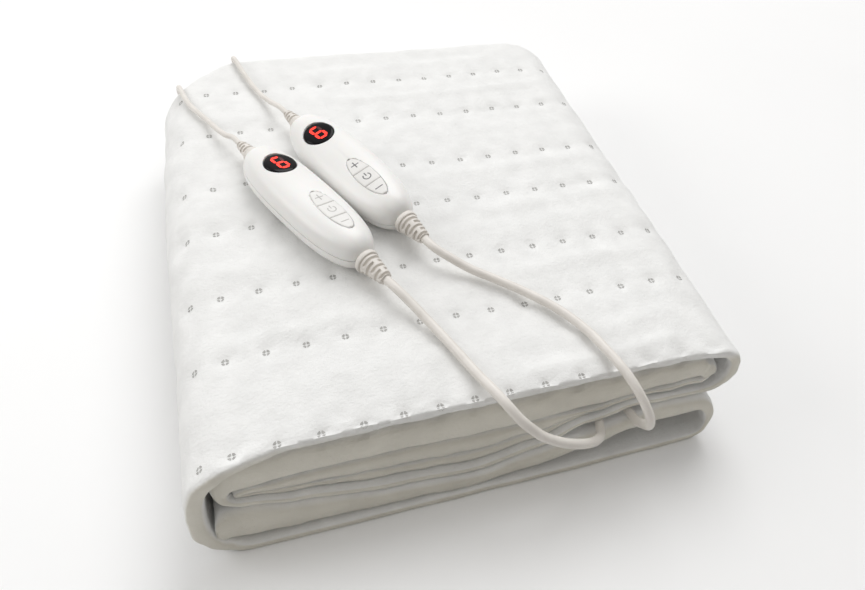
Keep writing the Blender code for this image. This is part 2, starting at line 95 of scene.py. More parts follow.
# The weld dots run over the top and down both shoulders: even columns, and uneven rows.
DOT_PITCH = 25.3
DOT_ROWS = (165.5, 102.5, 32, -19.5, -84.5, -139, -207.5)
DOT_COLUMNS = tuple(DOT_PITCH * column for column in range(-7, 8))
DOT_RADIUS = 2.5
DOT_INNER = 0.9
FRONT_ROW_END = 80  # the front row of dots stops here, where the cover curls under
FRONT_ROW_SHIFT = (9.3, -75, 45)  # how far the front row slips along X, and between which X
DIMPLE = (1.9, 4.6, 0.8, 12)  # depth and radius of the dent, then of the pull around it

# Painted shade on the folded edges that face the front, under the cover's rim: its colour, how far
# they face the front, and the heights in metres where the painted shade starts and is whole.
FRONT_SHADE_TINT = (0.86, 0.83, 0.755)
FRONT_SHADE_FACING = (-0.35, -0.85)
FRONT_SHADE_HEIGHTS = (0.086, 0.080)

# Long soft ridges along X: y, where they start and stop along X, height and half width, in mm.
RIDGES = (
    (187, -60, 130, 0.9, 5), (132, -40, 175, 1.7, 4.5), (139, -60, 20, 0.8, 7),
    (84, -10, 170, 0.8, 6), (70, 30, 170, 0.8, 5), (12, 20, 165, 0.9, 6),
    (-38, 40, 170, 0.9, 6), (-62, -20, 160, 0.7, 7), (-108, 30, 165, 1.1, 6),
    (-128, -160, -60, 0.8, 6), (-62, -165, -120, 0.9, 6), (-172, -150, 20, 0.7, 6),
    (-176, 55, 150, 1.4, 7), (-198, 20, 150, 1.1, 6), (60, -165, -110, 0.9, 6),
    (118, -170, -100, 0.9, 6), (0, -168, -130, 0.8, 6),
)

# The handsets, as in the CAD part.
BODY = Vector((74, 22.8, 26)) * MM
WINDOW = Vector((-37, 0, 0)) * MM
WINDOW_SIZE = (13.4 * MM, 12.6 * MM)
KEYPAD = (5.5 * MM, 56.5 * MM, 8 * MM)
KEY_LINES = (23.5 * MM, 39.5 * MM)
POCKET_FLOOR = 21.8 * MM
KEY_BOTTOM = 22.9 * MM
KEY_TOP = 26.5 * MM
KEY_GAP = 0.13 * MM
AXIS_HEIGHT = 9.5 * MM
GAP = 0.3 * MM
HANDSETS = {
    "near": ((-87, -20.2, 94.6), -64, -7),
    "far": ((-45.9, 15.2, 96.9), -66, 15),
}
LOWER_LEVELS = ((0, 8), (0.7, 4.5), (2.4, 1.8), (5, 0.4), (8.9, 0.05), (9.35, 0.35))
UPPER_LEVELS = (
    (9.85, 0.35), (10.3, 0.05), (14, 0.5), (18, 1.8), (21.2, 4.2), (23.6, 7.6), (25.2, 12),
    (26, 17.5), (26.15, 21),
)

# The cords: routes in mm, as in the CAD part.
LEAD_RADIUS = 3.25 * MM
MAINS_RADIUS = 2.25 * MM
STRAIGHT = 12 * MM
FRONT_RELIEF = 24 * MM
REAR_RELIEF = 20 * MM
LEADS = {
    "near": (
        (-30, -131, 100.8), (-22.5, -145, 98), (-15.5, -160, 96.8), (-9, -176, 96.5),
        (-2, -195, 97), (4, -210, 98.2), (9.5, -222, 97), (16, -230, 91),
        (23.5, -233, 83), (31, -235, 75.5), (40, -236.5, 69.5), (49.5, -237.5, 64.5),
        (59.5, -237, 59.5), (69, -234.5, 54), (77, -229.5, 48), (83, -222, 41.4),
        (87, -211, 38.4), (89.5, -198, 38.6), (91.5, -184, 39.6), (92.5, -170, 40),
    ),
    "far": (
        (7, -97, 103), (19.5, -107, 99), (36, -119.5, 96.8), (53.5, -136.5, 96.5),
        (70, -156.5, 96.5), (81.5, -178, 97.0), (87.5, -199, 98.4), (91.5, -214, 98.4),
        (95.5, -226, 94.5), (99.5, -234.5, 87.5), (103, -239, 79), (106, -239.5, 70),
        (108, -236.5, 61.5), (109.2, -230, 53.5), (109.4, -221.5, 46),
        (108.8, -211, 43), (107.5, -198, 43.2), (106.5, -185, 43.5), (106, -172, 43.6),
    ),
}
MAINS = {
    "near": (
        (-138.5, 84, 101.8), (-145.5, 101, 97.4), (-153.5, 120, 95.2), (-161.5, 136, 93.8),
        (-168, 154, 91.8), (-172, 171, 90.2), (-174.8, 186, 87.2), (-176, 198, 77),
        (-175.5, 207, 62), (-174, 214, 45), (-171.5, 221, 28), (-167, 231, 14),
        (-165, 243, 5.5), (-164.4, 258, 2.6), (-164.3, 276, 2.5),
    ),
    "far": (
        (-95, 122, 102.6), (-99.5, 134.5, 98.6), (-105, 149, 96.0), (-111, 167, 95.2),
        (-117, 188, 95.3), (-121.5, 206, 96.0), (-124.5, 220, 94.0), (-124.5, 230.5, 85),
        (-121.5, 236, 70), (-117, 239, 53), (-111, 241, 36), (-103.5, 243.5, 20),
        (-91, 246, 8.5), (-77, 249, 3.2), (-58, 252.5, 2.5), (-38, 257.5, 2.5),
        (-22, 264, 2.5), (-13.5, 272, 2.5), (-12.3, 280, 2.5),
    ),
}
COILS = {"near": (-128, 282), "far": (24, 282)}
COIL_RADIUS = 27 * MM
COIL_SECTION = (3, 4)
PLUG_HEIGHT = 7 * MM
TAIL_CORD = ((18.6, 14.6), (24, 12.4), (30, 9.6), (37, 7.6))
PLUG_START = 46 * MM

# The camera: where it stands, which way it looks, and how its frame is cut from a wider picture.
CAMERA_PLACE = (-0.130, -0.502, 0.520)
CAMERA_HEADING = -23.47
CAMERA_DOWN = 36.0  # picked: the weld dots fit 30 to 55 degrees about equally well
CAMERA_ROLL = 7.95
CAMERA_LENS = 33.96
CAMERA_SHIFT = (-0.0975, -0.1723)


# ---- Shared helpers ---------------------------------------------------------------------------


def ease(low, high, value):
    """0 below low, 1 above high, and a smooth step between them."""
    share = min(max((value - low) / (high - low), 0), 1)
    return share * share * (3 - 2 * share)


def new_object(name, data, finish, body="root", stands_for=()):
    """A piece in the scene, riding on its body, with its finish and the nodes that it replaces."""
    data.materials.clear()
    data.materials.append(finish)
    obj = bpy.data.objects.new(name, data)
    bpy.context.scene.collection.objects.link(obj)
    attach(obj, body)
    if stands_for:
        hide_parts(*stands_for)
    return obj


def mesh_from(bm, name, place=None, angle=40):
    """A smooth-shaded mesh, moved to its place in the frame."""
    bmesh.ops.recalc_face_normals(bm, faces=bm.faces)
    mesh = bpy.data.meshes.new(name)
    bm.to_mesh(mesh)
    bm.free()
    if place:
        mesh.transform(place)
    mesh.shade_smooth()
    mesh.set_sharp_from_angle(angle=math.radians(angle))
    return mesh


def add_loft(bm, rings, closed=False):
    """Adds the surface through rings of points, with its ends capped, or as a closed loop."""
    loops = [[bm.verts.new(point) for point in ring] for ring in rings]
    count = len(loops[0])
    pairs = list(zip(loops, loops[1:]))
    if closed:
        pairs.append((loops[-1], loops[0]))
    for low, high in pairs:
        for k in range(count):
            after = (k + 1) % count
            bm.faces.new((low[k], low[after], high[after], high[k]))
    if not closed:
        bm.faces.new(list(reversed(loops[0])))
        bm.faces.new(loops[-1])


def loft(rings, name, place=None, angle=40):
    bm = bmesh.new()
    add_loft(bm, rings)
    return mesh_from(bm, name, place, angle)


def rounded_ring(half_x, half_y, z, power=2.7, count=96):
    """A ring of points on a rounded oblong."""
    points = []
    for k in range(count):
        turn = 2 * math.pi * k / count
        x = math.copysign(abs(math.cos(turn)) ** (2 / power), math.cos(turn))
        y = math.copysign(abs(math.sin(turn)) ** (2 / power), math.sin(turn))
        points.append(Vector((half_x * x, half_y * y, z)))
    return points


def catmull(points, steps):
    """Points on the smooth curve through the given ones."""
    padded = [2 * points[0] - points[1], *points, 2 * points[-1] - points[-2]]
    fine = []
    for a, b, c, d in zip(padded, padded[1:], padded[2:], padded[3:]):
        for k in range(steps):
            t = k / steps
            fine.append(0.5 * (2 * b + (c - a) * t + (2 * a - 5 * b + 4 * c - d) * t * t
                               + (3 * b - a - 3 * c + d) * t ** 3))
    return [*fine, points[-1]]


# ---- Materials --------------------------------------------------------------------------------


def noise_node(tree, scale, detail, rough=0.5, stretch=None):
    """A noise texture in the piece's own coordinates, in features per metre."""
    place = tree.nodes.new("ShaderNodeTexCoord")
    texture = tree.nodes.new("ShaderNodeTexNoise")
    texture.inputs["Scale"].default_value = scale
    texture.inputs["Detail"].default_value = detail
    texture.inputs["Roughness"].default_value = rough
    if stretch:
        mapping = tree.nodes.new("ShaderNodeMapping")
        mapping.inputs["Scale"].default_value = stretch
        tree.links.new(place.outputs["Object"], mapping.inputs["Vector"])
        tree.links.new(mapping.outputs["Vector"], texture.inputs["Vector"])
    else:
        tree.links.new(place.outputs["Object"], texture.inputs["Vector"])
    return texture


def colour_variation(tree, shader, dark, light, scale, detail=4, low=0.35, high=0.65):
    """Base colour that wanders between two shades."""
    texture = noise_node(tree, scale, detail)
    ramp = tree.nodes.new("ShaderNodeValToRGB")
    ramp.color_ramp.elements[0].position = low
    ramp.color_ramp.elements[0].color = (*dark, 1)
    ramp.color_ramp.elements[1].position = high
    ramp.color_ramp.elements[1].color = (*light, 1)
    tree.links.new(texture.outputs["Fac"], ramp.inputs["Fac"])
    tree.links.new(ramp.outputs["Color"], shader.inputs["Base Color"])


def rough_variation(tree, shader, low, high, scale):
    texture = noise_node(tree, scale, 3)
    spread = tree.nodes.new("ShaderNodeMapRange")
    spread.inputs["From Min"].default_value = 0.3
    spread.inputs["From Max"].default_value = 0.7
    spread.inputs["To Min"].default_value = low
    spread.inputs["To Max"].default_value = high
    tree.links.new(texture.outputs["Fac"], spread.inputs["Value"])
    tree.links.new(spread.outputs["Result"], shader.inputs["Roughness"])


def bump_layers(tree, shader, layers):
    """Bumps on each other: (scale, detail, height in metres, stretch) for each."""
    normal = None
    for scale, detail, height, stretch in layers:
        texture = noise_node(tree, scale, detail, 0.6, stretch)
        bump = tree.nodes.new("ShaderNodeBump")
        bump.inputs["Strength"].default_value = 1.0
        bump.inputs["Distance"].default_value = height
        tree.links.new(texture.outputs["Fac"], bump.inputs["Height"])
        if normal:
            tree.links.new(normal, bump.inputs["Normal"])
        normal = bump.outputs["Normal"]
    tree.links.new(normal, shader.inputs["Normal"])


def material(name, dark, light, rough, scale, bumps, **inputs):
    """A finish with colour and roughness that vary over the surface, and its fine relief."""
    made = bpy.data.materials.new(name)
    made.use_nodes = True
    tree = made.node_tree
    shader = tree.nodes["Principled BSDF"]
    for key, value in inputs.items():
        shader.inputs[key.replace("_", " ")].default_value = value
    colour_variation(tree, shader, dark, light, scale)
    rough_variation(tree, shader, *rough, scale * 2)
    bump_layers(tree, shader, bumps)
    return made


def paint_front_shade(made, shade_tint):
    """Paints shade on the folded edges of the plies under the cover which face the front, by
    multiplying a warm grey into their colour.
    """
    tree = made.node_tree
    shader = tree.nodes["Principled BSDF"]
    colour = shader.inputs["Base Color"].links[0].from_socket
    facing = tree.nodes.new("ShaderNodeNewGeometry")
    parts = tree.nodes.new("ShaderNodeSeparateXYZ")
    spread = tree.nodes.new("ShaderNodeMapRange")
    spread.inputs["From Min"].default_value, spread.inputs["From Max"].default_value = FRONT_SHADE_FACING
    # Painted shade: the low, front-facing parts of the felt are multiplied by a warm grey.
    mix = tree.nodes.new("ShaderNodeMixRGB")
    mix.blend_type = "MULTIPLY"
    mix.inputs["Color2"].default_value = (*shade_tint, 1)
    tree.links.new(facing.outputs["Normal"], parts.inputs["Vector"])
    low = tree.nodes.new("ShaderNodeMapRange")
    low.inputs["From Min"].default_value, low.inputs["From Max"].default_value = FRONT_SHADE_HEIGHTS
    height = tree.nodes.new("ShaderNodeSeparateXYZ")
    both = tree.nodes.new("ShaderNodeMath")
    both.operation = "MULTIPLY"
    tree.links.new(facing.outputs["Position"], height.inputs["Vector"])
    tree.links.new(height.outputs["Z"], low.inputs["Value"])
    tree.links.new(parts.outputs["Y"], spread.inputs["Value"])
    tree.links.new(spread.outputs["Result"], both.inputs[0])
    tree.links.new(low.outputs["Result"], both.inputs[1])
    tree.links.new(both.outputs["Value"], mix.inputs["Fac"])
    tree.links.new(colour, mix.inputs["Color1"])
    tree.links.new(mix.outputs["Color"], shader.inputs["Base Color"])


def make_materials():
    felt_relief = (
        (70, 3, 0.0011, None),
        (420, 5, 0.00042, (1, 1.5, 1)),
        (1500, 4, 0.0002, (1, 2.2, 1)),
    )
    return {
        "felt": material(
            "white_felt", (0.83, 0.83, 0.82), (0.885, 0.885, 0.875), (0.88, 1.0), 55, felt_relief,
            Sheen_Weight=0.35, Sheen_Roughness=0.45, Specular_IOR_Level=0.2,
        ),
        # The weld arcs' dark grey is painted shade: it stands for the shadow in their pressed
        # grooves.
        "weld": material(
            "weld_groove_painted_shade", (0.36, 0.355, 0.34), (0.5, 0.495, 0.48), (0.5, 0.7), 500,
            ((900, 3, 0.0002, None),),
        ),
        "case": material(
            "white_gloss_plastic", (0.85, 0.842, 0.825), (0.875, 0.867, 0.85), (0.34, 0.42), 25,
            ((900, 2, 0.00002, None), (160, 2, 0.00006, None)), Coat_Weight=0.1,
            Coat_Roughness=0.2, Subsurface_Weight=0.06, Subsurface_Scale=0.004,
        ),
        "key": material(
            "white_key", (0.79, 0.78, 0.76), (0.83, 0.82, 0.80), (0.40, 0.52), 60,
            ((2600, 2, 0.00003, None),),
        ),
        "window": material(
            "black_window", (0.002, 0.002, 0.0025), (0.006, 0.006, 0.007), (0.06, 0.10), 60,
            ((300, 2, 0.00002, None),), Coat_Weight=0.03, Coat_Roughness=0.05,
            Specular_IOR_Level=0.12,
        ),
        "digit": material(
            "red_digit", (0.75, 0.02, 0.01), (0.9, 0.04, 0.02), (0.3, 0.4), 200,
            ((900, 2, 0.00002, None),), Emission_Color=(1.0, 0.03, 0.015, 1),
            Emission_Strength=1.1,
        ),
        "unlit_segment": material(
            "unlit_segment", (0.05, 0.004, 0.004), (0.08, 0.006, 0.006), (0.2, 0.3), 200,
            ((900, 2, 0.00002, None),),
        ),
        "dark_print": material(
            "grey_symbol", (0.16, 0.16, 0.165), (0.22, 0.22, 0.225), (0.4, 0.5), 300,
            ((2000, 2, 0.00001, None),),
        ),
        "light_print": material(
            "pale_symbol", (0.50, 0.49, 0.47), (0.56, 0.55, 0.53), (0.4, 0.5), 300,
            ((2000, 2, 0.00001, None),),
        ),
        "relief": material(
            "warm_white_relief", (0.72, 0.685, 0.64), (0.77, 0.735, 0.69), (0.42, 0.55), 120,
            ((1500, 3, 0.00005, None),),
        ),
        "cord": material(
            "warm_white_cord", (0.74, 0.705, 0.66), (0.79, 0.755, 0.71), (0.38, 0.5), 90,
            ((1300, 3, 0.00004, None), (180, 2, 0.00012, None)), Coat_Weight=0.08,
        ),
        "plug": material(
            "white_plug", (0.80, 0.78, 0.75), (0.84, 0.82, 0.79), (0.28, 0.4), 60,
            ((1500, 3, 0.00004, None),), Coat_Weight=0.1,
        ),
        "pin": material(
            "nickel_pin", (0.62, 0.61, 0.58), (0.72, 0.71, 0.68), (0.18, 0.32), 400,
            ((2500, 2, 0.00003, (1, 8, 8)),), Metallic=1.0,
        ),
        "tie": material(
            "white_tie", (0.74, 0.74, 0.73), (0.8, 0.8, 0.79), (0.6, 0.8), 200,
            ((1800, 3, 0.0001, None),),
        ),
    }


# ---- The folded cloth -------------------------------------------------------------------------


def on_knots(heights, x):
    """The height of a line at x: a smooth curve through its heights at X_KNOTS."""
    last = len(X_KNOTS) - 1
    x = min(max(x, X_KNOTS[0]), X_KNOTS[last])
    i = max(k for k in range(last) if X_KNOTS[k] <= x)
    share = ease(X_KNOTS[i], X_KNOTS[i + 1], x)
    return heights[i] + (heights[i + 1] - heights[i]) * share


def layer_lines(layer, x, blend):
    """The low and high faces of a layer at x, from its front lines to its even back lines."""
    low, high = on_knots(layer[4], x), on_knots(layer[5], x)
    return low + (layer[6][0] - low) * blend, high + (layer[6][1] - high) * blend


def arc(end_x, first, last, swell, power, steps):
    """Points from the height first round to the height last, swelling past end_x."""
    middle, half = (first + last) / 2, (first - last) / 2
    points = []
    for k in range(1, steps):
        turn = math.pi * k / steps
        across = abs(math.sin(turn)) ** (2 / power)
        up = math.copysign(abs(math.cos(turn)) ** (2 / power), math.cos(turn))
        points.append((end_x + swell * across, middle + half * up))
    return points


def hem(end_x, low, high, swell, power):
    """Pairs of points that round off a free end, from the tip to the full thickness."""
    middle, half = (low + high) / 2, (high - low) / 2
    pairs = []
    for turn in HEM_TURNS:
        across = math.cos(math.radians(turn)) ** (2 / power)
        up = math.sin(math.radians(turn)) ** (2 / power)
        x = end_x + swell * across
        pairs.append(((x, middle + half * up), (x, middle - half * up)))
    return pairs


def section(blend):
    """The ribbon at one depth: (left face, right face, front inset, back inset, name) in order."""
    run = []
    first, last = X_KNOTS[0], X_KNOTS[-1]
    for number, layer in enumerate(LAYERS):
        name, way, front, back = layer[:4]
        steps = layer[7]
        end = LEAF_END if name == "leaf" else last
        if number == 0:
            low, high = layer_lines(layer, first, blend)
            run += [(*pair, front, back, "hem") for pair in hem(first, low, high, -HEM[0], HEM[1])]
        for k in range(steps + 1):
            x = first + (end - first) * k / steps
            if way < 0:
                x = last + (first - last) * k / steps
            low, high = layer_lines(layer, x, blend)
            faces = ((x, high), (x, low)) if way > 0 else ((x, low), (x, high))
            run.append((*faces, front, back, name))
        if number == len(FOLDS):
            low, high = layer_lines(layer, end, blend)
            for left, right in reversed(hem(end, low, high, *LEAF_HEM)):
                run.append((left, right, front, back, name))
            break
        fold, outer, inner, power, front, back, steps = FOLDS[number]
        following = LAYERS[number + 1]
        side = last if way > 0 else first
        low, high = layer_lines(layer, side, blend)
        next_low, next_high = layer_lines(following, side, blend)
        # A fold's outer face joins the two layers' far faces, and its inner face the near ones.
        far, near = ((high, next_low), (low, next_high))
        if low < next_low:
            far, near = ((low, next_high), (high, next_low))
        outside = arc(side, *far, way * outer, power, steps)
        inside = arc(side, *near, way * inner, power, steps)
        turns_left = (way > 0) == (low < next_low)
        for out, into in zip(outside, inside):
            pair = (into, out) if turns_left else (out, into)
            run.append((*pair, front, back, fold))
    return run


def averaged(values, reach):
    """The values with each one averaged with its neighbours, so that the edge has no step."""
    count = len(values)
    spans = [values[max(0, i - reach):min(count, i + reach + 1)] for i in range(count)]
    return [sum(span) / len(span) for span in spans]


def place_point(x, y, z):
    """Draws the left side in towards the front, and swells and dips the layers a little."""
    if x < 0:
        x *= 1 - 0.045 * ease(60, -220, y)
    swell = 0.010 * math.sin(x / 47 + 0.6) * math.sin(y / 58 + 1.1)
    clear_of_handsets = 1 - math.exp(-(((x + 55) / 90) ** 4 + (y / 130) ** 4))
    return Vector((x, y, z * (1 - abs(swell) * clear_of_handsets)))


def corner_inset(x):
    """How far the back corners are rounded off."""
    return 46 * ease(-122, -191, x) + 18 * ease(150, 192, x)


def depth_shares():
    """Where the rows between the two noses lie: closer together beside each row of dots."""
    span = 2 * (HALF_DEPTH - NOSE_DEPTH)
    depths = []
    for row in DOT_ROWS:
        depths += [row + off for off in (-10, -6.4, -3.6, -1.3, 1.3, 3.6, 6.4, 10)]
    for row, following in zip(DOT_ROWS, DOT_ROWS[1:]):
        depths += [row + (following - row) * k / 8 for k in (1.9, 2.6, 3.3, 4, 4.7, 5.4, 6.1)]
    depths += [DOT_ROWS[0] + 14 + 5 * k for k in range(7)]
    shares = sorted((depth + HALF_DEPTH - NOSE_DEPTH) / span for depth in depths)
    return [share for share in shares if 0.004 < share < 0.996]


SECTIONS = {}


def section_at(y):
    """The section at a depth in mm: uneven at the front, and more even towards the back."""
    blend = round(0.8 * ease(-150, 150, y), 2)
    if blend not in SECTIONS:
        SECTIONS[blend] = section(blend)
    return SECTIONS[blend]


def cloth_grid():
    """The ribbon's points in mm: one list of (left, right) pairs for each row, and its names."""
    shape = section(0)
    fronts = averaged([point[2] for point in shape], 6)
    backs = averaged([point[3] for point in shape], 6)
    steps = [("front", share) for share in NOSE_ROWS]
    steps += [("middle", share) for share in depth_shares()]
    steps += [("back", share) for share in reversed(NOSE_ROWS)]
    rows = []
    for place, share in steps:
        row = []
        for i in range(len(shape)):
            left, right = Vector(shape[i][0]), Vector(shape[i][1])
            nose = min(NOSE_DEPTH, 0.5 * (left - right).length) + 0.5
            if shape[i][4] == "cover":
                nose = COVER_NOSE
            start = -HALF_DEPTH + fronts[i]
            stop = HALF_DEPTH - backs[i] - corner_inset((left.x + right.x) / 2)
            keep = 1
            if place == "middle":
                y = start + nose + (stop - start - 2 * nose) * share
            else:
                keep = math.sqrt(1 - (1 - share) ** 2) if share < 1 else 1
                in_by = nose * share
                y = start + in_by if place == "front" else stop - in_by
            pair = section_at(y)[i]
            left, right = Vector(pair[0]), Vector(pair[1])
            middle, half = (left + right) / 2, (left - right) / 2
            row.append([
                place_point(point.x, y, point.y)
                for point in (middle + half * keep, middle - half * keep)
            ])
        rows.append(row)
    return rows, [point[4] for point in shape]


def dot_x(column, row):
    """Where a dot lies along X: the front row runs a little askew."""
    shift, start, stop = FRONT_ROW_SHIFT
    return column - shift * ease(start, stop, column) if row == DOT_ROWS[-1] else column


def dimples(x, y):
    """How far the felt is pulled in at a point of the top, in mm."""
    depth, dent, pull, reach = DIMPLE
    row = min(DOT_ROWS, key=lambda place: abs(place - y))
    away = min(math.hypot(x - dot_x(column, row), y - row) for column in DOT_COLUMNS)
    return depth * math.exp(-(away / dent) ** 2) + pull * math.exp(-(away / reach) ** 2)


def ridges(x, y):
    """How far the felt stands up in its long soft ridges, in mm."""
    height = 0
    for middle, start, stop, rise, half in RIDGES:
        ends = ease(start - 12, start + 22, x) * (1 - ease(stop - 22, stop + 12, x))
        if ends == 0:
            continue
        wander = 4.5 * noise.noise(Vector((x / 60, middle, 0))) + 0.03 * (x - start)
        away = (y - middle - wander) / half
        height += rise * ends * (math.exp(-away ** 2) - 0.5 * math.exp(-(away - 1.6) ** 2))
    return height


def soft_noise(point, size, seed):
    return noise.noise(Vector((point.x / size + seed, point.y / size, point.z / size)))


def cloth_relief(point, normal):
    """How far a point of the cloth moves along its normal, in mm."""
    lift = 0.35 * soft_noise(point, 16, 3) + 0.25 * soft_noise(point, 6, 9)
    upward = ease(0.15, 0.7, normal.z) * ease(72, 80, point.z)
    if upward:
        top = ridges(point.x, point.y) - dimples(point.x, point.y)
        top += 0.9 * soft_noise(point, 38, 5) + 0.6 * soft_noise(point, 20, 1)
        lift += upward * top
    outward = ease(0.3, 0.8, abs(normal.x)) * ease(150, 175, abs(point.x))
    if outward:
        lift += outward * 1.3 * noise.noise(Vector((point.y / 26, point.z / 14, 7)))
    frontward = ease(0.3, 0.8, -normal.y)
    if frontward:
        lift += frontward * 0.8 * noise.noise(Vector((point.x / 17, point.z / 6, 2)))
        seam = abs(point.x - SEAM_X)
        if point.z < SEAM_TOP and seam < 6:
            lift -= frontward * 1.1 * math.exp(-(seam / 1.3) ** 2)
    return lift


def build_cloth(finish):
    rows, names = cloth_grid()
    bm = bmesh.new()
    grid = [[bm.verts.new(p * MM) for pair in row for p in pair] for row in rows]
    count = len(names)
    for before, after in zip(grid, grid[1:]):
        for i in range(count - 1):
            left, right, next_left, next_right = range(2 * i, 2 * i + 4)
            bm.faces.new((before[left], after[left], after[next_left], before[next_left]))
            bm.faces.new((before[right], before[next_right], after[next_right], after[right]))
        for left, right in ((0, 1), (2 * count - 2, 2 * count - 1)):
            bm.faces.new((before[left], before[right], after[right], after[left]))
    for row in (grid[0], grid[-1]):
        for i in range(count - 1):
            left, right, next_left, next_right = row[2 * i:2 * i + 4]
            bm.faces.new((left, next_left, next_right, right))
    bmesh.ops.recalc_face_normals(bm, faces=bm.faces)
    bm.normal_update()
    moves = [vert.normal * cloth_relief(vert.co / MM, vert.normal) * MM for vert in bm.verts]
    for vert, move in zip(bm.verts, moves):
        vert.co += move
        vert.co.z = max(vert.co.z, 0)
    surface = BVHTree.FromBMesh(bm)
    mesh = mesh_from(bm, "blanket", None, 75)
    blanket = new_object("felt_blanket", mesh, finish, "root", ["blanket"])
    return surface


# ---- Weld dots --------------------------------------------------------------------------------


def add_weld(bm, surface, origin, toward):
    """Four short pressed arcs round a weld, laid on the cloth where a ray meets it."""
    hit, normal, _, _ = surface.ray_cast(origin, toward)
    if hit is None:
        return
    if normal.dot(toward) > 0:
        normal = -normal
    side = normal.cross(Vector((0, 1, 0))).normalized()
    up = side.cross(normal)
    for quarter in range(4):
        outline = []
        for radius, turns in ((DOT_RADIUS, range(0, 5)), (DOT_INNER, range(4, -1, -1))):
            for k in turns:
                turn = math.radians(90 * quarter + 11 + 17 * k)
                around = (side * math.cos(turn) + up * math.sin(turn)) * radius * MM
                spot, _, _, _ = surface.ray_cast(hit + around + normal * 0.004, -normal)
                outline.append((spot or hit + around) + normal * 0.00012)
        verts = [bm.verts.new(point) for point in outline]
        for k in range(4):
            bm.faces.new((verts[k], verts[k + 1], verts[8 - k], verts[9 - k]))


def build_welds(surface, finish):
    bm = bmesh.new()
    for y in DOT_ROWS:
        for x in DOT_COLUMNS:
            if y == DOT_ROWS[-1] and x > FRONT_ROW_END:
                continue
            # The columns near the sides sit on the shoulders, which face outwards.
            lean = math.copysign(ease(150, 185, abs(x)), x)
            away = Vector((lean * 0.8, 0, 1)).normalized()
            origin = Vector((dot_x(x, y), y, 88)) * MM + away * 0.04
            add_weld(bm, surface, origin, -away)
    mesh = mesh_from(bm, "weld_dots", None, 60)
    # Their dark grey finish is painted shade for the shadow in the pressed grooves.
    new_object("weld_dots", mesh, finish)


# ---- The handsets -----------------------------------------------------------------------------


def handset_place(tag):
    centre, heading, roll = HANDSETS[tag]
    return (
        Matrix.Translation(Vector(centre) * MM) @ Matrix.Rotation(math.radians(heading), 4, "Z")
        @ Matrix.Rotation(math.radians(roll), 4, "X")
    )


def fine_levels(levels):
    """The case's (height, inset) levels with smooth steps between them."""
    points = [Vector((height, inset, 0)) for height, inset in levels]
    return [(p.x, p.y) for p in catmull(points, 3)]


def case_rings(levels):
    return [
        rounded_ring(BODY.x - inset * MM, BODY.y - inset * MM, height * MM)
        for height, inset in fine_levels(levels)
    ]


def keypad_half_width(x, slack):
    """Half the keypad's width at x: a slim oval."""
    rear, front, half = KEYPAD
    middle, reach = (rear + front) / 2, (front - rear) / 2 - slack
    share = min(abs(x - middle) / reach, 1)
    return (half - slack) * (1 - share ** 2) ** 0.55


def keypad_outline(start, stop, slack, z, steps=24):
    """The keypad's outline between two places along it."""
    places = [start + (stop - start) * k / steps for k in range(steps + 1)]
    near = [(x, max(keypad_half_width(x, slack), 0.4 * MM)) for x in places]
    ring = [Vector((x, -y, z)) for x, y in near]
    return ring + [Vector((x, y, z)) for x, y in reversed(near)]


def cut_mesh(mesh, cutters, name):
    """The mesh with the cutters' shapes taken out of it."""
    target = bpy.data.objects.new(name, mesh)
    bpy.context.scene.collection.objects.link(target)
    helpers = []
    for cutter in cutters:
        helper = bpy.data.objects.new("cutter", cutter)
        bpy.context.scene.collection.objects.link(helper)
        helpers.append(helper)
        boolean = target.modifiers.new("cut", "BOOLEAN")
        boolean.operation = "DIFFERENCE"
        boolean.solver = "EXACT"
        boolean.object = helper
    weights = target.modifiers.new("weights", "WEIGHTED_NORMAL")
    weights.keep_sharp = True
    graph = bpy.context.evaluated_depsgraph_get()
    result = bpy.data.meshes.new_from_object(target.evaluated_get(graph))
    for helper in [target, *helpers]:
        bpy.data.objects.remove(helper)
    return result


def build_cases(tag, place, finishes):
    prefix = f"handset_{tag}_"
    lower = loft(case_rings(LOWER_LEVELS), "lower_case", place, 50)
    new_object(f"case_{tag}_lower", lower, finishes["case"], "root",
               [prefix + "lower_case"])

    upper = loft(case_rings(UPPER_LEVELS), "upper_case", None, 50)
    above = BODY.z + 4 * MM
    window = [rounded_ring(*WINDOW_SIZE, z, 2) for z in (POCKET_FLOOR, above)]
    window = [[point + WINDOW for point in ring] for ring in window]
    keypad = keypad_outline(KEYPAD[0], KEYPAD[1], 0, POCKET_FLOOR, 60)
    cutters = [
        loft(window, "window_cutter"),
        loft([keypad, [Vector((p.x, p.y, above)) for p in keypad]], "keypad_cutter"),
    ]
    upper = cut_mesh(upper, cutters, "upper")
    upper.transform(place)
    new_object(f"case_{tag}_upper", upper, finishes["case"], "root",
               [prefix + "upper_case"])


def build_window(tag, place, finishes):
    levels = ((22.1, 0.4), (24.6, 0.4), (25.2, 0.6), (25.7, 1.2), (26.0, 2.4), (26.2, 4.4),
              (26.3, 6.5), (26.35, 10))
    rings = []
    for z, inset in levels:
        sizes = [size - inset * MM for size in WINDOW_SIZE]
        rings.append([point + WINDOW for point in rounded_ring(*sizes, z * MM, 2)])
    new_object(f"window_{tag}", loft(rings, "window", place, 60), finishes["window"],
               "root", [f"handset_{tag}_window"])


def add_stroke(bm, path, width, bottom, top):
    """Adds a flat bar of the given width that follows a path in X and Y."""
    half = width / 2
    rings = []
    for k, point in enumerate(path):
        before, after = path[max(0, k - 1)], path[min(len(path) - 1, k + 1)]
        along = (after - before).normalized()
        side = Vector((-along.y, along.x, 0)) * half
        rings.append([
            point + side + Vector((0, 0, bottom)), point - side + Vector((0, 0, bottom)),
            point - side * 0.9 + Vector((0, 0, top)), point + side * 0.9 + Vector((0, 0, top)),
        ])
    add_loft(bm, rings)


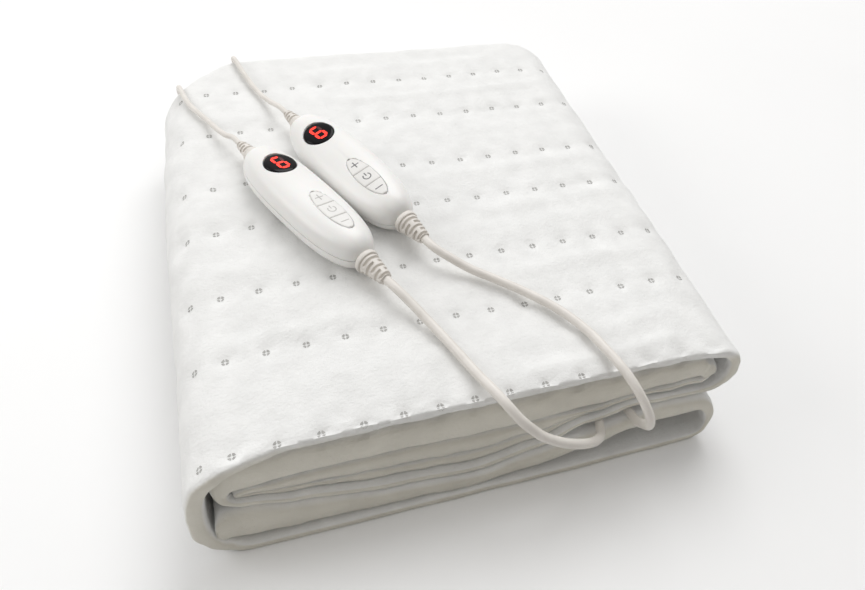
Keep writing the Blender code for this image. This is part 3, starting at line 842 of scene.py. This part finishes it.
def add_segment(bm, start, stop, half, bottom, top):
    """Adds one bar of a seven-segment digit, pointed at both ends."""
    along = (stop - start).normalized()
    side = Vector((-along.y, along.x, 0)) * half
    outline = [
        start, start + along * half + side, stop - along * half + side,
        stop, stop - along * half - side, start + along * half - side,
    ]
    add_loft(bm, [[p + Vector((0, 0, z)) for p in outline] for z in (bottom, top)])


def build_digit(tag, place, finishes):
    """A six: its head is towards the rear end, and every bar is lit but the upper right one."""
    half_high, half_wide, half_bar, slant = 7.1 * MM, 3.5 * MM, 1.1 * MM, -0.1

    def corner(right, up):
        x = -up * half_high
        y = right * half_wide + up * half_high * slant
        return WINDOW + Vector((x, y, 0))

    bars = (
        ((-1, 1), (1, 1), True), ((-1, 0), (1, 0), True), ((-1, -1), (1, -1), True),
        ((-1, 1), (-1, 0), True), ((-1, 0), (-1, -1), True), ((1, 0), (1, -1), True),
        ((1, 1), (1, 0), False),
    )
    for lit, name, finish in ((True, "digit", "digit"), (False, "unlit", "unlit_segment")):
        bm = bmesh.new()
        for start, stop, bright in bars:
            if bright == lit:
                a, b = corner(*start), corner(*stop)
                trim = (b - a).normalized() * 0.25 * MM
                add_segment(bm, a + trim, b - trim, half_bar, 26.30 * MM, 26.42 * MM)
        mesh = mesh_from(bm, name, place, 30)
        new_object(f"{name}_{tag}", mesh, finishes[finish])


def symbol_strokes(key):
    """The paths of a key's symbol round the key's own centre, in mm."""
    if key == "plus":
        return [((-3.4, 0), (3.4, 0)), ((0, -3.4), (0, 3.4))]
    if key == "minus":
        return [((0, -3.4), (0, 3.4))]
    ring = []
    for k in range(25):
        turn = math.radians(180 + 42 + 276 * k / 24)
        ring.append((3 * math.cos(turn), 3 * math.sin(turn)))
    return [ring, ((-4.2, 0), (-0.6, 0))]


def build_keys(tag, place, finishes):
    edges = (KEYPAD[0] + 1.2 * MM, *KEY_LINES, KEYPAD[1] - 1.2 * MM)
    ink = finishes["dark_print" if tag == "far" else "light_print"]
    for number, key in enumerate(("plus", "power", "minus")):
        start, stop = edges[number] + KEY_GAP, edges[number + 1] - KEY_GAP
        outline = keypad_outline(start, stop, 0.2 * MM, 0)
        middle = Vector(((start + stop) / 2, 0, 0))
        levels = ((KEY_BOTTOM, 0), (KEY_TOP - 1.0 * MM, 0), (KEY_TOP - 0.55 * MM, 0.15),
                  (KEY_TOP - 0.2 * MM, 0.5), (KEY_TOP - 0.05 * MM, 1.0), (KEY_TOP, 1.7))
        rings = []
        for z, inset in levels:
            half_x = (stop - start) / 2
            half_y = max(p.y for p in outline)
            scale = Vector((1 - inset * MM / half_x, 1 - inset * MM / half_y, 1))
            rings.append([
                middle + Vector(((p.x - middle.x) * scale.x, p.y * scale.y, z)) for p in outline
            ])
        body = f"key_{tag}_{key}"
        new_object(f"button_{tag}_{key}", loft(rings, "key", place, 50), finishes["key"],
                   body, [f"handset_{tag}_key_{key}"])

        bm = bmesh.new()
        for stroke in symbol_strokes(key):
            path = [middle + Vector((x, y, 0)) * MM for x, y in stroke]
            add_stroke(bm, path, 1.0 * MM, KEY_TOP - 0.1 * MM, KEY_TOP + 0.06 * MM)
        new_object(f"symbol_{tag}_{key}", mesh_from(bm, "symbol", place, 30), ink, body)


def relief_rings(radii, length, ribs, slot_depth):
    """A strain relief along +X: a round collar, then a tapered boot with staggered slots."""
    collar, root, tip = radii
    rings = []
    steps, turns = 110, 48
    start = 5.0 * MM
    for k in range(steps + 1):
        x = length * k / steps
        ring = []
        for t in range(turns):
            turn = 2 * math.pi * t / turns
            taper = root + (tip - root) * max(0, (x - start) / (length - start))
            radius = taper
            if x < start:
                flange = math.sqrt(max(0, 1 - ((x - 2.1 * MM) / (2.1 * MM)) ** 4)) if (
                    x < 4.2 * MM) else 0
                radius = taper * 0.9 + (collar - taper * 0.9) * flange ** 0.5
            else:
                phase = (x - start) / (length - start) * ribs
                rib, share = int(phase), phase - int(phase)
                slot = ease(0.42, 0.5, share) * (1 - ease(0.88, 0.96, share))
                side = abs(math.cos(turn)) if rib % 2 else abs(math.sin(turn))
                opening = ease(0.28, 0.42, side)
                radius -= slot_depth * slot * opening
            if x > length - 0.8 * MM:
                radius -= 0.5 * MM * ((x - length) / (0.8 * MM) + 1) ** 2
            ring.append(Vector((x, radius * math.cos(turn), radius * math.sin(turn))))
        rings.append(ring)
    return rings


def build_reliefs(tag, place, finishes):
    front = place @ Matrix.Translation((BODY.x + 0.1 * MM, 0, AXIS_HEIGHT))
    rings = relief_rings((9.2 * MM, 8.2 * MM, 5 * MM), FRONT_RELIEF + 0.4 * MM, 5, 2.1 * MM)
    new_object(f"relief_{tag}_front", loft(rings, "relief", front, 35), finishes["relief"],
               "root", [f"handset_{tag}_front_relief"])
    rear = (place @ Matrix.Translation((-BODY.x - 0.1 * MM, 0, AXIS_HEIGHT))
            @ Matrix.Rotation(math.pi, 4, "Z"))
    rings = relief_rings((7.2 * MM, 6 * MM, 3.8 * MM), REAR_RELIEF + 0.4 * MM, 4, 1.5 * MM)
    new_object(f"relief_{tag}_rear", loft(rings, "relief", rear, 35), finishes["relief"],
               "root", [f"handset_{tag}_rear_relief"])


def build_handset(tag, finishes):
    place = handset_place(tag)
    build_cases(tag, place, finishes)
    build_window(tag, place, finishes)
    build_digit(tag, place, finishes)
    build_keys(tag, place, finishes)
    build_reliefs(tag, place, finishes)


# ---- The cords --------------------------------------------------------------------------------


def straight_out(tag, end):
    """A cord's first two points, straight out of a strain relief: end is 1 or -1."""
    length = FRONT_RELIEF if end > 0 else REAR_RELIEF
    tip = BODY.x + 2.4 * GAP + length
    place = handset_place(tag)
    return [place @ Vector((end * (tip + step), 0, AXIS_HEIGHT)) for step in (0, STRAIGHT)]


def coil_points(tag):
    """The turns of the coil: layer on layer, in and out, until the end is at the back."""
    wide, high = COIL_SECTION
    centre = Vector((*COILS[tag], 0)) * MM
    step = 2 * MAINS_RADIUS
    radii = [COIL_RADIUS + step * ((wide - 1) / 2 - k) for k in range(wide)]
    turns = []
    for layer in range(high):
        turns += [(radius, layer) for radius in (radii if layer % 2 == 0 else radii[::-1])]
    outermost, joining = radii[0], radii[0] + step
    start_turn, end_turn = 189, 90
    total = wide * high - 1 + (start_turn - end_turn) / 360
    points = []
    for k in range(1, round(total * 24) + 1):
        walked = total * k / round(total * 24)
        number, share = int(walked), walked - int(walked)
        radius, layer = turns[number]
        next_radius, next_layer = turns[min(number + 1, len(turns) - 1)]
        radius += (next_radius - radius) * ease(0.6, 0.8, share)
        level = layer + (next_layer - layer) * ease(0.8, 1.0, share)
        if walked < 0.3:
            radius += (joining - outermost) * (1 - ease(0, 0.3, walked))
        turn = math.radians(start_turn - 360 * walked)
        height = 2.5 * MM + step * level
        points.append(centre + Vector((radius * math.cos(turn), radius * math.sin(turn), height)))
    return points


def tail_points(tag):
    """From the top of the coil down to the plug."""
    x, y = Vector(COILS[tag]) * MM
    back = y + COIL_RADIUS + 2 * MAINS_RADIUS
    run = [Vector((x + 9 * MM, back, 15.8 * MM))]
    run += [Vector((x + along * MM, back, height * MM)) for along, height in TAIL_CORD]
    run.append(Vector((x + PLUG_START + 6 * MM, back, PLUG_HEIGHT)))
    return run


def cord_curve(name, points, radius, finish, stands_for):
    curve = bpy.data.curves.new(name, "CURVE")
    curve.dimensions = "3D"
    curve.bevel_depth = radius
    curve.bevel_resolution = 5
    curve.use_fill_caps = True
    spline = curve.splines.new("POLY")
    spline.points.add(len(points) - 1)
    for target, point in zip(spline.points, points):
        target.co = (*point, 1)
    spline.use_smooth = True
    return new_object(name, curve, finish, "root", stands_for)


def build_lead(tag, finishes):
    route = straight_out(tag, 1) + [Vector(point) * MM for point in LEADS[tag]]
    inside = (route[0] - route[1]).normalized() * 3 * MM
    points = [route[0] + inside] + catmull(route, 6)
    lead = cord_curve(f"lead_cord_{tag}", points, LEAD_RADIUS, finishes["cord"], [f"lead_{tag}"])


def build_mains(tag, finishes):
    route = straight_out(tag, -1) + [Vector(point) * MM for point in MAINS[tag]]
    inside = (route[0] - route[1]).normalized() * 3 * MM
    points = [route[0] + inside] + catmull(route, 5)
    coil = coil_points(tag)
    points += coil + catmull([coil[-1], *tail_points(tag)], 4)[1:]
    nodes = [f"mains_cord_{tag}", f"mains_coil_{tag}", f"plug_cord_{tag}"]
    mains = cord_curve(f"mains_{tag}", points, MAINS_RADIUS, finishes["cord"], nodes)
    pieces = build_plug(tag, finishes)
    pieces.append(build_tie(tag, finishes))


def build_tie(tag, finishes):
    """A soft strap round the coil's turns, with its end tucked over itself."""
    wide, high = COIL_SECTION
    centre = Vector((*COILS[tag], 0)) * MM
    half_wide = wide * MAINS_RADIUS + 0.7 * MM
    top = 2.5 * MM + (2 * high - 1) * MAINS_RADIUS + 0.7 * MM
    low = 0.1 * MM
    bm = bmesh.new()
    for turns, lift, half_band in (((0, 48), 0, 4 * MM), ((8, 26), 0.9 * MM, 3.4 * MM)):
        rings = []
        for k in range(turns[0], turns[1]):
            turn = 2 * math.pi * k / 48
            across = math.copysign(abs(math.cos(turn)) ** 0.45, math.cos(turn))
            up = math.copysign(abs(math.sin(turn)) ** 0.45, math.sin(turn))
            out = Vector((across, 0, up))
            spot = Vector((across * half_wide, 0, (top + low) / 2 + up * (top - low) / 2))
            near, far = spot + out * lift, spot + out * (lift + 0.8 * MM)
            if far.z < 0.2 * MM:
                near.z = far.z = max(near.z, 0.2 * MM)
                far.z = 0.1 * MM
            band = Vector((0, half_band, 0))
            rings.append([near - band, near + band, far + band, far - band])
        add_loft(bm, rings, closed=turns[1] - turns[0] == 48)
    place = (Matrix.Translation(centre) @ Matrix.Rotation(math.radians(-35), 4, "Z")
             @ Matrix.Translation((COIL_RADIUS, 0, 0)))
    return new_object(f"tie_{tag}", mesh_from(bm, "tie", place, 40), finishes["tie"])


def build_plug(tag, finishes):
    """A flat two-pin plug along +X, with a ribbed tail, a waist and a face ring."""
    x, y = Vector(COILS[tag]) * MM
    y += COIL_RADIUS + 2 * MAINS_RADIUS
    place = Matrix.Translation((x + PLUG_START, y, PLUG_HEIGHT))
    shape = [(0, 2.7, 2.7), (0.6, 3.2, 3.2)]
    for k in range(4):
        start, wide = 1.2 + 2.3 * k, 3.4 + 0.28 * k
        shape += [(start, wide, wide), (start + 1.2, wide + 0.1, wide + 0.1),
                  (start + 1.4, wide - 0.7, wide - 0.7), (start + 2.1, wide - 0.7, wide - 0.7)]
    shape += [(10.6, 4.6, 4.6), (12, 6.9, 5.5), (14, 8.4, 6.1), (16, 9.5, 6.5), (20, 11.1, 6.8),
              (24, 12.4, 6.9), (30, 12.6, 6.6), (36, 12.9, 6.8), (42, 13.2, 6.95),
              (45, 13.1, 6.9), (45.8, 12.7, 6.5), (46, 12, 6)]
    rings = []
    for along, half, thick in shape:
        ring = rounded_ring(half * MM, thick * MM, 0, 3.0, 48)
        rings.append([Vector((along * MM, p.x, p.y)) for p in ring])
    pieces = [new_object(f"plug_body_{tag}", loft(rings, "plug", place, 35), finishes["plug"],
                         "root", [f"plug_{tag}"])]
    for side, label in ((9.5, "a"), (-9.5, "b")):
        bm = bmesh.new()
        profile = ((45.5, 2), (46.2, 2), (62.6, 2), (63.8, 1.75), (64.8, 1.2), (65.3, 0.5))
        rings = []
        for along, radius in profile:
            ring = rounded_ring(radius * MM, radius * MM, 0, 2, 32)
            rings.append([Vector((along * MM, p.x + side * MM, p.y)) for p in ring])
        add_loft(bm, rings)
        pieces.append(new_object(f"plug_pin_{tag}_{label}", mesh_from(bm, "pin", place, 50),
                                 finishes["pin"], "root", [f"plug_{tag}_pin_{label}"]))
    return pieces


# ---- The studio -------------------------------------------------------------------------------


def build_floor():
    bm = bmesh.new()
    bmesh.ops.create_grid(bm, x_segments=2, y_segments=2, size=6)
    floor_mesh = mesh_from(bm, "floor")
    finish = material(
        "pale_floor", (0.90, 0.90, 0.90), (0.915, 0.915, 0.915), (0.75, 0.85), 3,
        ((40, 2, 0.0001, None),),
    )
    floor_mesh.materials.append(finish)
    floor = bpy.data.objects.new("floor", floor_mesh)
    bpy.context.scene.collection.objects.link(floor)


def area_light(name, place, aim, size, energy):
    light = bpy.data.lights.new(name, "AREA")
    light.shape = "DISK"
    light.size = size
    light.energy = energy
    obj = bpy.data.objects.new(name, light)
    obj.location = place
    obj.rotation_euler = (Vector(aim) - Vector(place)).to_track_quat("-Z", "Y").to_euler()
    bpy.context.scene.collection.objects.link(obj)


def sky_gradient(tree, backdrop):
    """A sky that is bright above and behind the blanket, and dim and warm in front of it."""
    place = tree.nodes.new("ShaderNodeTexCoord")
    towards = tree.nodes.new("ShaderNodeVectorMath")
    towards.operation = "DOT_PRODUCT"
    towards.inputs[1].default_value = Vector((0.1, 0.5, 0.86)).normalized()
    ramp = tree.nodes.new("ShaderNodeValToRGB")
    ramp.color_ramp.elements[0].position = 0.1
    ramp.color_ramp.elements[0].color = (0.17, 0.155, 0.13, 1)
    ramp.color_ramp.elements[1].position = 0.8
    ramp.color_ramp.elements[1].color = (0.86, 0.86, 0.86, 1)
    tree.links.new(place.outputs["Generated"], towards.inputs[0])
    tree.links.new(towards.outputs["Value"], ramp.inputs["Fac"])
    tree.links.new(ramp.outputs["Color"], backdrop.inputs["Color"])


def build_studio():
    scene = bpy.context.scene
    scene.view_settings.view_transform = "Standard"
    world = bpy.data.worlds.new("studio")
    scene.world = world
    world.use_nodes = True
    backdrop = world.node_tree.nodes["Background"]
    backdrop.inputs["Strength"].default_value = 1.0
    sky_gradient(world.node_tree, backdrop)
    area_light("key", (0.7, 1.1, 2.2), (0, 0, 0.05), 1.8, 26)
    area_light("left", (-1.5, 0.2, 0.9), (0, 0, 0.05), 1.0, 8)
    build_floor()


def build_camera():
    heading, down, roll = (
        math.radians(angle) for angle in (CAMERA_HEADING, CAMERA_DOWN, CAMERA_ROLL)
    )
    camera = bpy.data.cameras.new("camera")
    camera.lens = CAMERA_LENS
    camera.shift_x, camera.shift_y = CAMERA_SHIFT
    camera.clip_start = 0.01
    obj = bpy.data.objects.new("camera", camera)
    obj.matrix_world = (
        Matrix.Translation(CAMERA_PLACE) @ Matrix.Rotation(heading, 4, "Z")
        @ Matrix.Rotation(math.pi / 2 - down, 4, "X") @ Matrix.Rotation(roll, 4, "Z")
    )
    bpy.context.scene.collection.objects.link(obj)
    bpy.context.scene.camera = obj


def main():
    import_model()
    build_camera()
    build_studio()
    finishes = make_materials()
    for tag in HANDSETS:
        build_lead(tag, finishes)
        build_mains(tag, finishes)
    # Painted shade on the felt's front-facing folded edges, multiplied into its colour.
    paint_front_shade(finishes["felt"], FRONT_SHADE_TINT)
    surface = build_cloth(finishes["felt"])
    build_welds(surface, finishes["weld"])
    for tag in HANDSETS:
        build_handset(tag, finishes)


main()
